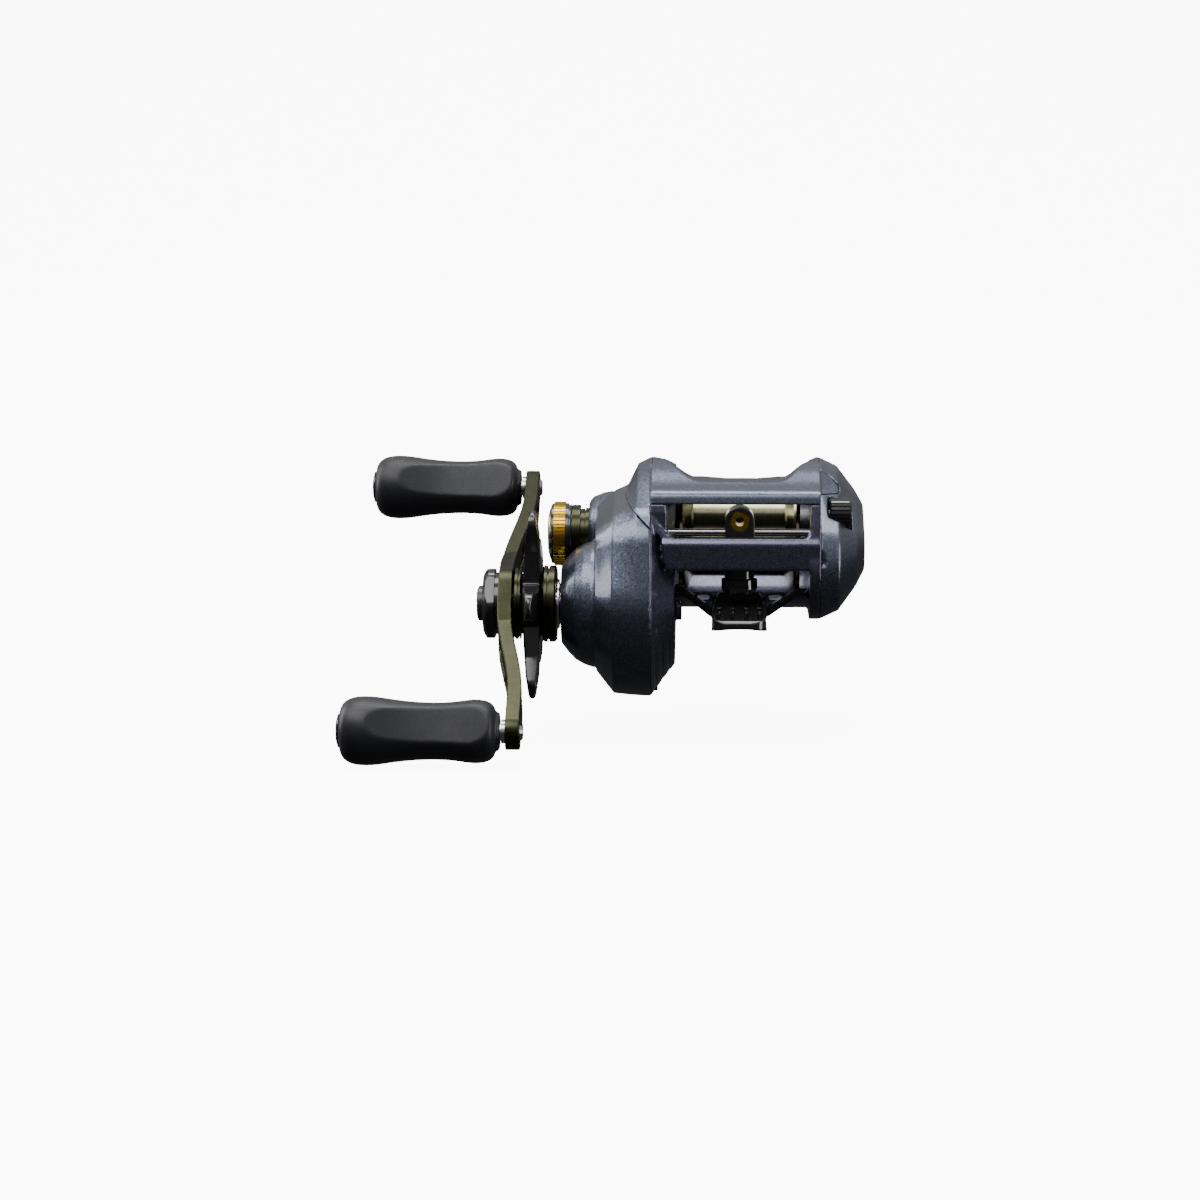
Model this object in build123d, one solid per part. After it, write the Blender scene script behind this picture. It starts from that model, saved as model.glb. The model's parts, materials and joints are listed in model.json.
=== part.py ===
from build123d import *
import os
from math import acos, atan2, cos, degrees, hypot, pi, radians, sin, tan

# Low-profile baitcasting reel, in millimetres.
# +X is the palm side, -X the handle side, -Y the front where the line leaves, +Z up.
# The origin is the middle of the reel foot's underside.

# ---------------------------------------------------------------- driving dimensions
HANDLE_SPAN = 95.0                  # between the two knob axes
HANDLE_LEAN = 62.0                  # degrees from upright at rest, lower end forward
SPOOL = (3.0, 18.0)                 # (y, z) of the spool axis
DRIVE = (-9.6, 3.4)                 # (y, z) of the drive shaft axis
WORM = (-18.8, 16.4)                # (y, z) of the level-wind worm axis
DIAL = (-14.4, 24.4)                # (y, z) of the brake dial axis
SPOOL_R = 14.5                      # flange radius
ARBOR_R = 9.6
FIT = 0.05                          # radial clearance of a running fit
WALL = 1.6                          # casing wall

DRIVE_TEETH = 102                   # 8.5 turns of the spool for one of the handle
PINION_TEETH = 12
IDLER_TEETH = 38
WORM_TEETH = 22
BACKLASH = 0.10
PRESSURE = radians(20)
RATCHET_TEETH = 12

FOOT_LENGTH, FOOT_WIDTH, FOOT_TIP = 63.4, 12.4, 2.6
TROUGH_IN, TROUGH_OUT = SPOOL_R + 0.7, SPOOL_R + 2.3
FASCIA_FRONT = -25.6                # foremost face of the bar under the window
BAR_BACK = -23.8
BAR_LOW, BAR_HIGH = 13.0, 20.1
COVER_SCREWS = [(DRIVE[0], -14.6), (30.0, 15.0), (11.0, 30.0)]
HOOD_BACK = -7.5
SEAM_TOP, SEAM_FOOT = (-25.2, 27.5), (-17.4, 20.0)   # (x, z) ends of the hood's slanted lower edge
PROUD = 0.6                         # how far the hood's corner stands above the gear cover
HUMP_Z, DIP_Z = 36.0, 32.0          # hood crest over the plates and in the middle
LIP_Z = 27.5                        # underside of the hood's front lip
DIP_HALF = 8.5
GUIDE_ROD = (WORM[0] - 0.2, 20.9)
CARRIER_HALF = 3.3                  # half width of the line guide
RING_Z = 23.7                       # height of the ring the line runs through
DIAL_R = 3.8
KNOB_SHAFT_R = 1.9
SCOOP_R, SCOOP_NEAR = 46.0, 4.9     # radius of a thumb facet, and its distance from the knob's axis
SCOOP_X, SCOOP_TURN = -65.0, 25.0   # its deepest place, and degrees from the front
STAR_R = 22.2                       # tip radius of the star's spokes
STAR_FIRST = 5.0                    # degrees from the front to its first spoke
CAM_SWING = 21.5                    # degrees of cam turn for the bar's full travel
CAM_ARM = 12.0
CAM_RADIUS = 6.0                    # middle of the ramps
PIN_R = 1.25                        # spool shaft

# stations along X
ARM_OUT, ARM_IN = -54.2, -51.0      # middle of the handle arm
ARM_SWEEP = 3.8                     # how far the arm's ends come inboard
KNOB_OUT, KNOB_IN = -86.1, -52.5
CONE_END = -40.1
COVER_OUT = -32.2
COVER_BEVEL = -28.2
PLATE_OUT, PLATE_IN = -19.8, -14.4  # gear-side frame plate
RING_IN, RING_OUT = 15.6, 18.0      # palm-side frame plate
PALM_OUT = 28.2
SPOOL_HALF, SPOOL_FOOT = 13.7, 10.4   # flange faces, and where the flanges meet the barrel
CLUTCH_TRAVEL = 1.6                 # pinion and yoke, outboard
BAR_TRAVEL = 4.48                   # clutch bar, down

# casing outlines in the YZ plane: circles (y, z, radius) whose hull is the outline
GEAR_FULL = [(*DRIVE, 20.8), (1, 19, 17.0), (22, 17, 13.5), (-16, 16, 11.5)]
GEAR_CREST = [(*DRIVE, 20.7), (1, 18.6, 15.9), (21.7, 16.8, 12.8), (-16, 16, 11.4)]
GEAR_SHOULDER = [(*DRIVE, 20.5), (0.6, 16.2, 13.4), (20.9, 15.8, 11.6), (-15.8, 15.4, 11.0)]
GEAR_BEVEL = [(*DRIVE, 20.2), (0, 15.4, 13.0), (20.5, 15.5, 11.2), (-15.5, 15, 10.6)]
GEAR_FACE = [(*DRIVE, 15.2), (0, 15, 10.2), (18.5, 14.5, 8.2), (-14.0, 14, 8.0)]
PLATE_FACE = [(*DRIVE, 13.5), (2, 19, 15.9), (20.5, 16.5, 12.0), (-8, 14, 8.0)]
PALM_FULL = [(-13.7, 13.0, 12.2), (1, 18.5, 17.5), (21, 16.5, 13.3)]
PALM_MID = [(-14.1, 13.4, 10.6), (1, 18.0, 16.0), (20, 16.2, 12.0)]
PALM_EDGE = [(-12, 15, 6.8), (1, 17.8, 10.8), (16, 15.5, 7.6)]
PALM_FACE = [(-9, 16, 4.6), (1, 17.6, 7.6), (12.5, 15.5, 5.0)]
CREST_X, SHOULDER_X = -23.0, -25.4
PALM_MID_X, PALM_EDGE_X = 22.2, 26.3

parts = {}


# ---------------------------------------------------------------- helpers
def lathe(outline, axis):
    """Solid turned from an (x, radius) outline about the X-parallel axis through (y, z)."""
    face = make_face(Polyline(*outline, close=True))
    return Pos(0, *axis) * revolve(face, Axis.X)


def rod(x0, x1, radius, axis):
    return Pos((x0 + x1) / 2, *axis) * Cylinder(radius, x1 - x0, rotation=(0, 90, 0))


def tube(x0, x1, outer, inner, axis):
    return lathe([(x0, inner), (x0, outer), (x1, outer), (x1, inner)], axis)


def post(x, y, z0, z1, radius):
    return Pos(x, y, (z0 + z1) / 2) * Cylinder(radius, z1 - z0)


def pipe_y(x, y0, y1, z, radius):
    return Pos(x, (y0 + y1) / 2, z) * Cylinder(radius, y1 - y0, rotation=(90, 0, 0))


def block(x0, x1, y0, y1, z0, z1):
    return Pos((x0 + x1) / 2, (y0 + y1) / 2, (z0 + z1) / 2) * Box(x1 - x0, y1 - y0, z1 - z0)


def hull_face(circles, x):
    """Face on the plane X = x, bounded by the hull of (y, z, radius) circles."""
    rims = [rim for y, z, radius in circles for rim in (Pos(y, z) * Circle(radius)).edges()]
    return (Plane.YZ.offset(x) * make_hull(ShapeList(rims))).faces()[0]


def hull_prism(circles, x0, x1):
    return extrude(hull_face(circles, x0), x1 - x0, dir=(1, 0, 0))


def hull_loft(*sections):
    """Ruled casing through (circles, x) sections."""
    return loft([hull_face(circles, x) for circles, x in sections], ruled=True)


def shrink(circles, amount):
    return [(y, z, radius - amount) for y, z, radius in circles]


def slab_x(points, x0, x1):
    """Prism along X of a (y, z) polygon."""
    face = Plane.YZ.offset(x0) * make_face(Polyline(*points, close=True))
    return extrude(face, x1 - x0, dir=(1, 0, 0))


def slab_y(points, y0, y1):
    """Prism along Y of an (x, z) polygon."""
    face = make_face(Polyline(*[(x, 0, z) for x, z in points], close=True))
    return Pos(0, y0, 0) * extrude(face, y1 - y0, dir=(0, 1, 0))


def knurl(x0, x1, outer, depth, count, axis):
    """Cylinder with V grooves along its length."""
    step = 2 * pi / count
    rim = []
    for index in range(count):
        for turn, radius in ((-0.34, outer), (0.34, outer), (0.5, outer - depth)):
            angle = (index + turn) * step
            rim.append((axis[0] + radius * cos(angle), axis[1] + radius * sin(angle)))
    return slab_x(rim, x0, x1)


# ---------------------------------------------------------------- gears
def involute(angle):
    return tan(angle) - angle


def gear_rim(teeth, module, axis, first):
    """(y, z) outline of a spur gear, with a tooth centred on the angle `first`."""
    pitch = module * teeth / 2
    base = pitch * cos(PRESSURE)
    tip = pitch + 0.7 * module
    root = pitch - 0.95 * module
    at_pitch = pi / (2 * teeth) - BACKLASH / (4 * pitch)

    def half_tooth(radius):
        slope = acos(min(1.0, base / radius))
        return at_pitch + involute(PRESSURE) - involute(slope)

    flank = [root, max(root, base) + 0.02, pitch, (pitch + tip) / 2, tip]
    rim = []
    for index in range(teeth):
        middle = first + index * 2 * pi / teeth
        rising = [(radius, middle - half_tooth(radius)) for radius in flank]
        falling = [(radius, middle + half_tooth(radius)) for radius in reversed(flank)]
        for radius, angle in rising + falling:
            rim.append((axis[0] + radius * cos(angle), axis[1] + radius * sin(angle)))
    return rim


def mesh(driver_axis, driver_teeth, driven_axis, driven_teeth):
    """Module, and the two first-tooth angles that put a tooth of one in a gap of the other."""
    dy, dz = driven_axis[0] - driver_axis[0], driven_axis[1] - driver_axis[1]
    module = 2 * hypot(dy, dz) / (driver_teeth + driven_teeth)
    toward = atan2(dz, dy)
    return module, toward, toward + pi + pi / driven_teeth


DRIVE_MODULE, DRIVE_FIRST, PINION_FIRST = mesh(DRIVE, DRIVE_TEETH, SPOOL, PINION_TEETH)
IDLER_MODULE, IDLER_FIRST, WORM_FIRST = mesh(DRIVE, IDLER_TEETH, WORM, WORM_TEETH)


# ---------------------------------------------------------------- frame side
def foot_screws():
    """Two countersunk screws through the trough into the foot."""
    one = lathe([(0, 0), (0, 2.0), (0.25, 2.0), (1.1, 1.0), (2.9, 1.0), (2.9, 0)], (0, 0))
    one -= Pos(0.2, 0, 0) * Box(0.6, 0.5, 2.6)
    pair = []
    for angle in (-24, 24):
        place = Pos(0, *SPOOL) * Rot(angle, 0, 0) * Pos(0, 0, -TROUGH_IN - 0.1) * Rot(0, 90, 0)
        pair.append(place * one)
    return Compound(pair)


def trough():
    """Spool trough: a curved floor under the spool, with three ports behind its front lip."""
    ring = tube(PLATE_IN - 1, RING_IN + 0.5, TROUGH_OUT, TROUGH_IN, SPOOL)
    reach = 3 * TROUGH_OUT
    front, back = radians(38.5), radians(60)
    wedge = slab_x([SPOOL, (SPOOL[0] - reach * sin(front), SPOOL[1] - reach * cos(front)),
                    (SPOOL[0], SPOOL[1] - reach),
                    (SPOOL[0] + reach * sin(back), SPOOL[1] - reach * cos(back))],
                   PLATE_IN - 1, RING_IN + 0.5)
    floor = ring & wedge
    for x0, x1 in ((-9.6, -6.6), (-4.7, 4.7), (6.6, 9.6)):
        floor -= block(x0, x1, -12, -1, 4.0, 5.2)
    return floor


def screw_holes(x_head):
    """Bores for the cover screws: a clearance hole and a head pocket open inboard."""
    holes = []
    for place in COVER_SCREWS:
        holes.append(rod(-24, x_head, 1.0, place))
        holes.append(rod(x_head - 0.9, PLATE_IN + 2, 1.9, place))
    return holes


def frame():
    """One-piece frame: gear plate, palm ring, front bar, trough and rear bar."""
    body = hull_loft((GEAR_FULL, PLATE_OUT), (PLATE_FACE, PLATE_IN))
    body -= rod(PLATE_IN - 2.2, PLATE_IN + 1, SPOOL_R + 0.6, SPOOL)
    body += rod(PLATE_OUT, PLATE_IN, 4.4, WORM)
    body += hull_prism(PALM_FULL, RING_IN, RING_OUT)
    body += rod(RING_IN - 0.6, RING_OUT, 4.2, WORM) & hull_prism(PALM_FULL, RING_IN - 1, RING_OUT)
    body -= rod(RING_IN - 1, RING_OUT + 1, SPOOL_R + 0.7, SPOOL)
    body += fascia()
    body += trough()
    body += hull_prism([(30, 13, 2.4), (28.5, 9.5, 1.6)], PLATE_IN - 1, RING_IN + 1)
    body -= rod(PLATE_OUT - 1, PLATE_IN, 3.9, SPOOL)
    body -= rod(PLATE_OUT - 1, PLATE_IN - 1.4, 3.6, DRIVE)
    body -= rod(PLATE_OUT - 1, PLATE_IN + 1, 2.6, WORM)
    body -= rod(RING_IN - 1, RING_OUT - 0.6, 2.6, WORM)
    body -= block(PLATE_OUT - 1, PLATE_IN + 1, 20.4, 26.2, 16.6, 27.6)
    body -= block(RING_IN - 1, RING_OUT - 0.8, 21.6, 25.2, 19.0, 28.0)
    body += hull_prism([(-10.6, 3.0, 1.5), (-10.6, 1.4, 1.5)], PLATE_IN - 1, PLATE_IN + 1.5)
    for hole in screw_holes(PLATE_OUT + 1.5):
        body -= hole
    body -= hood_solid()
    body -= block(PLATE_OUT - 1, RING_OUT + 1, -30, HOOD_BACK, 30.0, 40.0)
    # the tops of both side walls slope down to the thumb opening
    for outer, high, inner, low in ((-18.4, 36.3, -14.0, 33.4),
                                    (RING_OUT + 0.1, 36.2, RING_IN - 0.1, 34.4)):
        body -= slab_y([(outer, high), (inner, low), (inner, 40), (outer, 40)], -40, 40)
    for depth in (0.0, 1.5, 3.0):
        groove = tube(PLATE_OUT + 1.0 + depth, PLATE_OUT + 1.45 + depth, 30, 18.7 - 1.35 * depth, DRIVE)
        body -= groove & block(-22, -14, -40, 4, -25, 1.0)
    return body


def crest_face(drop):
    """Front outline of the hood: a hump at each side of a smooth dip, lowered by `drop`."""
    rise = (PLATE_OUT + 1.6, 17.0)
    top, shoulder, dip = HUMP_Z - drop, HUMP_Z - 1.5 - drop, DIP_Z - drop
    left = Spline((rise[0], 0, top), (rise[0] + 4.2, 0, shoulder), (-DIP_HALF, 0, dip),
                  tangents=((1, 0, 0), (1, 0, -0.08)))
    right = Spline((DIP_HALF, 0, dip), (rise[1] - 4.0, 0, shoulder), (rise[1], 0, top),
                   tangents=((1, 0, 0.08), (1, 0, 0)))
    low = 20.0
    ends = (PLATE_OUT, RING_OUT)
    rest = Polyline(right @ 1, (ends[1], 0, HUMP_Z - 0.4 - drop), (ends[1], 0, low), (ends[0], 0, low),
                    (ends[0], 0, HUMP_Z - 0.6 - drop), left @ 0)
    return make_face([left, Line(left @ 1, right @ 0), right, rest])


def brow_line(drop):
    """Side outline of the hood's top, from its front lip back to its rear edge."""
    return Spline((FASCIA_FRONT + 2.4 + drop, LIP_Z + 1.4), (-19.4, 31.2 - drop), (-14.0, 33.9 - drop),
                  (HOOD_BACK, 36.2 - drop), tangents=((0.25, 1), (1, 0.28)))


def hood_solid():
    """Outer shape of the hood: a side outline crossed with a front outline."""
    brow = brow_line(0)
    side = make_face([brow, Polyline(brow @ 1, (HOOD_BACK, 28.4), (-12, 26.8), (-16.6, LIP_Z),
                                     (FASCIA_FRONT + 2.1, LIP_Z), brow @ 0)])
    side = extrude(Plane.YZ.offset(PLATE_OUT) * side, RING_OUT - PLATE_OUT, dir=(1, 0, 0))
    return side & (Pos(0, -30, 0) * extrude(crest_face(0), 30, dir=(0, 1, 0)))


def hood_corner():
    """Part of the gear-side casing that belongs to the hood, above a slanted seam."""
    along = (PLATE_OUT - SEAM_TOP[0]) / (SEAM_FOOT[0] - SEAM_TOP[0])
    low = SEAM_TOP[1] + along * (SEAM_FOOT[1] - SEAM_TOP[1])
    return slab_y([(PLATE_OUT, low), SEAM_TOP, (-28.0, 31.0), (-28.0, 40.0), (PLATE_OUT, 40.0)],
                  -40, HOOD_BACK)


def hood_tongue(gap):
    """Short tongue of the hood over the brake dial; `gap` widens it for the palm cover's cut."""
    return slab_y([(RING_OUT - gap, 28.9 - gap), (22.3 + gap, 28.9 - gap), (22.3 + gap, 30.2),
                   (RING_OUT - gap, 35.0 + 1.1 * gap)], -40, HOOD_BACK + gap)


def front_hood():
    """Cover over the level wind: dips in the middle and rises to a hump over each plate."""
    brow = brow_line(1.5)
    back = Polyline(brow @ 1, (HOOD_BACK + 1, 36.0), (HOOD_BACK + 1, 24), (FASCIA_FRONT + 4.2, 24), brow @ 0)
    hollow = extrude(Plane.YZ.offset(PLATE_IN) * make_face([brow, back]), RING_IN - PLATE_IN, dir=(1, 0, 0))
    hollow &= Pos(0, -30, 0) * extrude(crest_face(1.5), 30, dir=(0, 1, 0))
    hood = hood_solid() - hollow
    hood -= rod(PLATE_IN - 3, RING_OUT + 1, SPOOL_R + 0.8, SPOOL)
    hood += proud_corner()
    return hood + (palm_outer() - palm_inner() & hood_tongue(0))


def fascia():
    """Window frame at the front: bar below, slanted arms at the sides, all one sculpted rim."""
    outer = slab_y([(-16.2, BAR_LOW), (17.0, BAR_LOW), (RING_OUT, BAR_LOW + 1.2), (RING_OUT, LIP_Z + 6),
                    (SEAM_TOP[0], LIP_Z + 6), SEAM_TOP, SEAM_FOOT, (-16.9, BAR_LOW + 2.0)],
                   FASCIA_FRONT, -16.0)
    window = slab_y([(-15.0, BAR_HIGH), (14.6, BAR_HIGH), (15.8, BAR_HIGH + 1.2), (16.1, LIP_Z + 8),
                     (-16.6, LIP_Z + 8), (-16.2, BAR_HIGH + 1.6)], FASCIA_FRONT - 1, -15.0)
    front = FASCIA_FRONT
    lean_back = slab_x([(front, BAR_LOW - 1), (front, BAR_HIGH - 1.2), (front + 0.8, BAR_HIGH),
                        (front + 2.1, LIP_Z), (-19.0, LIP_Z + 4), (-16.0, LIP_Z + 5.5),
                        (-16.0, BAR_LOW - 1)], -26, 19)
    rim = outer & lean_back
    rim -= window
    rim -= slab_y([(SEAM_FOOT[0] + 1.2, BAR_HIGH + 0.8), (SEAM_TOP[0] + 3.6, LIP_Z), (-14.0, LIP_Z),
                   (-14.0, BAR_HIGH + 0.8)], FASCIA_FRONT - 1, BAR_BACK)
    rim -= block(PLATE_IN, RING_IN, BAR_BACK, 0, 0, BAR_HIGH + 0.1)
    return rim - block(PLATE_OUT - 10, PLATE_OUT, -30, 10, 0, 50)


def reel_foot():
    """Foot: arched wedge with a saddle underside, and four slanted arms up to the plates."""
    half = FOOT_LENGTH / 2
    side = slab_x([(-half, -1), (-half, FOOT_TIP - 0.6), (-half + 0.8, FOOT_TIP), (-8, 6.4),
                   (14, 6.4), (half - 0.8, FOOT_TIP), (half, FOOT_TIP - 0.6), (half, -1)],
                  -FOOT_WIDTH / 2, FOOT_WIDTH / 2)
    plan = extrude(RectangleRounded(FOOT_WIDTH, FOOT_LENGTH, 3.6), 12)
    section = [(5.9, -1), (6.2, 0.3), (5.5, 1.3), (6.2, 3.3), (5.2, 5.4), (4.0, 6.6)]
    arch = slab_y(section + [(-x, z) for x, z in reversed(section)], -half, half)
    foot = side & plan & arch
    foot -= pipe_y(0, -half - 1, half + 1, -26.3, 27.0)
    for x in (-4.5, -1.5, 1.5, 4.5):
        foot -= Pos(x, -half + 6.0, FOOT_TIP + 0.55) * Rot(9.5, 0, 0) * Box(0.8, 9.0, 1.5)
    for y0, y1 in ((-9.9, -7.7), (13.7, 15.9)):
        for sign in (-1, 1):
            end = PLATE_IN if sign < 0 else RING_IN
            foot += slab_y([(sign * 4, 0.9), (sign * 6.6, 0.6), (end, 6.9), (end, 8.7),
                            (sign * 6.0, 2.6), (sign * 4, 2.6)], y0, y1)
    foot += rod(PLATE_IN, PLATE_IN + 1.9, 1.7, (-9.2, 7.6))
    foot -= rod(-20, 20, TROUGH_OUT, SPOOL)
    return foot


def casing_loft(amount):
    """Gear case outline drawn in by `amount`: a crest near the plate, a shoulder and a bevel."""
    sections = [(GEAR_FULL, PLATE_OUT), (GEAR_CREST, CREST_X), (GEAR_SHOULDER, SHOULDER_X),
                (GEAR_BEVEL, COVER_BEVEL), (GEAR_FACE, COVER_OUT + max(amount, 0.0))]
    return hull_loft(*[(shrink(circles, amount), x) for circles, x in sections])


def gear_casing():
    """Thin wall of the gear case, open towards the frame."""
    return casing_loft(0.0) - casing_loft(WALL)


def proud_corner():
    """The hood's part of the casing, raised a little above the cover beside it."""
    return (casing_loft(-PROUD) - casing_loft(WALL)) & hood_corner()


def gear_cover():
    """Handle-side shell: gear case, cone boss on the drive axis, shoulder on the spool axis."""
    outer = casing_loft(0.0)
    shell = gear_casing() - hood_corner()
    for place in COVER_SCREWS:
        length = 3.2 if place[0] == DRIVE[0] else 9.0
        shell += rod(PLATE_OUT - length, PLATE_OUT, 2.6, place) & outer
    shell += lathe([(-30.6, 0), (-30.6, 14.2), (-33.0, 14.4), (-35.0, 13.7), (-36.8, 12.7),
                    (-38.6, 10.9), (CONE_END + 0.3, 9.3), (CONE_END, 8.9), (CONE_END, 0)], DRIVE)
    shell += lathe([(-29.0, 0), (-29.0, 9.9), (-31.0, 9.5), (-33.3, 8.6), (-34.3, 7.3), (-34.3, 0)], SPOOL)
    shell -= rod(-50, CONE_END + 3.1, 6.4, DRIVE)
    shell -= rod(CONE_END + 3.0, -26, 7.7, DRIVE)
    shell -= rod(-36, -26, 5.0, SPOOL)
    shell -= rod(-50, -34.3, 6.8, SPOOL)
    for place in COVER_SCREWS:
        shell -= rod(-22.9, PLATE_OUT + 1, 1.0, place)
    return shell


def gear_cover_screws():
    head_x = PLATE_OUT + 1.5
    screws = []
    for place in COVER_SCREWS:
        screw = lathe([(-22.6, 0), (-22.6, 1.0), (head_x - 0.9, 1.0), (head_x - 0.9, 1.85),
                       (head_x - 0.1, 1.85), (head_x, 1.7), (head_x, 0)], place)
        screw -= slab_x([(place[0] + 0.9 * cos(radians(60 * k)), place[1] + 0.9 * sin(radians(60 * k)))
                         for k in range(6)], head_x - 0.5, head_x + 1)
        screws.append(screw)
    return Compound(screws)


def thumb_rest():
    """Rear crosspiece behind the clutch bar, rounded for the thumb and dished in the middle."""
    rest = hull_prism([(30.0, 26.0, 2.4), (31.8, 19.0, 2.0), (30.5, 17.0, 1.6)], PLATE_IN, RING_IN)
    return rest - Pos((PLATE_IN + RING_IN) / 2, 30, 67.6) * Cylinder(40, 12, rotation=(90, 0, 0))


def worm_guard():
    """Tube round the worm, slotted below for the pawl."""
    guard = tube(PLATE_IN, RING_IN - 0.6, 3.5, 2.75, WORM)
    return guard - block(-13.2, 13.2, WORM[0] - 1.35, WORM[0] + 1.35, WORM[1] - 5, WORM[1] - 2)


def worm_bushes():
    """Two flanged plastic bushes for the worm shaft."""
    outer = tube(PLATE_OUT + 0.2, PLATE_IN, 2.6, 1.2 + FIT, WORM)
    inner = tube(RING_IN - 0.4, RING_OUT - 0.6, 2.6, 1.2 + FIT, WORM)
    return Compound([outer, inner])


def ball_bearing(x0, x1, outer, bore, axis):
    """Bearing closed by two shields: outer race, inner race and the shield step between them."""
    step = 0.15
    race_out, race_in = outer - 0.9, bore + 0.7
    return lathe([(x0, bore), (x0, race_in), (x0 + step, race_in), (x0 + step, race_out), (x0, race_out),
                  (x0, outer), (x1, outer), (x1, race_out), (x1 - step, race_out), (x1 - step, race_in),
                  (x1, race_in), (x1, bore)], axis)


def gear_side_bearings():
    drive = ball_bearing(PLATE_OUT + 0.4, PLATE_IN - 1.4, 3.6, 1.5 + FIT, DRIVE)
    pinion = ball_bearing(-36.4, -34.2, 4.2, PIN_R + FIT, SPOOL)
    return Compound([drive, pinion])


def cast_boss():
    """Threaded boss of the cast control, with an olive collar and bright rings at its root."""
    x = [-41.6, -38.1, -36.3, -36.1, -35.3, -35.1, -34.3, -31.4]
    return lathe([(x[0], 4.3), (x[0], 5.4), (x[0] + 0.2, 5.6), (x[1], 5.6), (x[1], 6.65), (x[2], 6.65),
                  (x[2], 5.3), (x[3], 5.3), (x[3], 5.75), (x[4], 5.75), (x[4], 5.3), (x[5], 5.3),
                  (x[5], 5.95), (x[6], 5.95), (x[6], 5.0), (x[7], 5.0), (x[7], 3.6),
                  (-34.2, 3.6), (-34.2, 4.2), (-36.4, 4.2), (-36.4, 4.3)], SPOOL)


def roller_clutch():
    """One-way roller clutch: outer shell with pockets, rollers between it and the sleeve."""
    shell = tube(-36.6, -29.4, 7.6, 6.5, DRIVE)
    rollers = []
    for index in range(8):
        angle = radians(45 * index)
        place = (DRIVE[0] + 5.7 * cos(angle), DRIVE[1] + 5.7 * sin(angle))
        rollers.append(rod(-36.0, -30.0, 0.7, place))
    return Compound([shell] + rollers)


# two posts that carry the yoke, square to the line between the drive and spool axes
PERP = (DRIVE[1] - SPOOL[1], SPOOL[0] - DRIVE[0])
PERP_UNIT = (PERP[0] / hypot(*PERP), PERP[1] / hypot(*PERP))
YOKE_POSTS = [(SPOOL[0] + side * 8.0 * PERP_UNIT[0], SPOOL[1] + side * 8.0 * PERP_UNIT[1])
              for side in (-1, 1)]


def yoke_posts():
    pins = []
    for place in YOKE_POSTS:
        pins.append(lathe([(PLATE_OUT, 0), (PLATE_OUT, 0.8), (-27.6, 0.8), (-27.6, 1.7), (-28.1, 1.7),
                           (-28.1, 0)], place))
    return Compound(pins)


# ---------------------------------------------------------------- crank
def arm_edge(x):
    """One side line of the arm seen from the front: flat middle, sweeps, flat ends."""
    flat, hub = HANDLE_SPAN / 2 - 8, 7.2
    upright = ((0, 0, 1), (0, 0, 1))
    end = x + ARM_SWEEP
    low = Spline((end, 0, -flat), (x, 0, -hub), tangents=upright)
    high = Spline((x, 0, hub), (end, 0, flat), tangents=upright)
    reach = HANDLE_SPAN / 2 + 6
    start, finish = Line((end, 0, -reach), low @ 0), Line(high @ 1, (end, 0, reach))
    return [start, low, Line(low @ 1, high @ 0), high, finish]


def arm_band():
    """Side view of the arm: a swept band whose ends come inboard, extruded across its width."""
    outer, inner = arm_edge(ARM_OUT), arm_edge(ARM_IN)
    ends = [Line(outer[0] @ 0, inner[0] @ 0), Line(outer[-1] @ 1, inner[-1] @ 1)]
    return Pos(0, -12, 0) * extrude(make_face(outer + inner + ends), 24, dir=(0, 1, 0))


def handle_arm():
    """Double arm, built upright about the origin and then leaned about the drive axis."""
    half = HANDLE_SPAN / 2
    plan = hull_prism([(0, 0, 8.6), (0, 13, 4.6), (0, -13, 4.6)], -60, -40)
    for side in (-1, 1):
        plan += hull_prism([(0, side * 11, 4.8), (0, side * half, 4.0)], -60, -40)
        plan -= hull_prism([(0, side * 17, 2.2), (0, side * 25, 1.9)], -60, -40)
        plan -= hull_prism([(0, side * 30, 1.8), (0, side * 38, 1.5)], -60, -40)
        plan -= rod(-60, -40, 1.5, (0, side * half))
    plan -= rod(-60, -40, 2.5, (0, 0))
    return lean(arm_band() & plan)


def lean(shape):
    """From the arm's upright frame to its place on the drive axis; +Z becomes up and back."""
    return Pos(0, *DRIVE) * Rot(-HANDLE_LEAN, 0, 0) * shape


def knob_axis(side):
    """(y, z) of a knob's axis; side +1 is the upper knob, -1 the lower."""
    half = side * HANDLE_SPAN / 2
    return (DRIVE[0] + half * sin(radians(HANDLE_LEAN)), DRIVE[1] + half * cos(radians(HANDLE_LEAN)))


def knob_shaft(axis):
    """Steel shaft riveted through the arm's end, with a head on the inner face."""
    inner = ARM_IN + ARM_SWEEP
    outer = ARM_OUT + ARM_SWEEP
    return lathe([(inner + 0.6, 0), (inner + 0.6, 1.6), (inner, 2.2), (inner, 1.5), (outer, 1.5),
                  (outer, 2.6), (outer - 0.9, 2.6), (outer - 0.9, KNOB_SHAFT_R),
                  (-83.6, KNOB_SHAFT_R), (-84.0, 1.5), (-84.0, 0)], axis)


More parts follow.
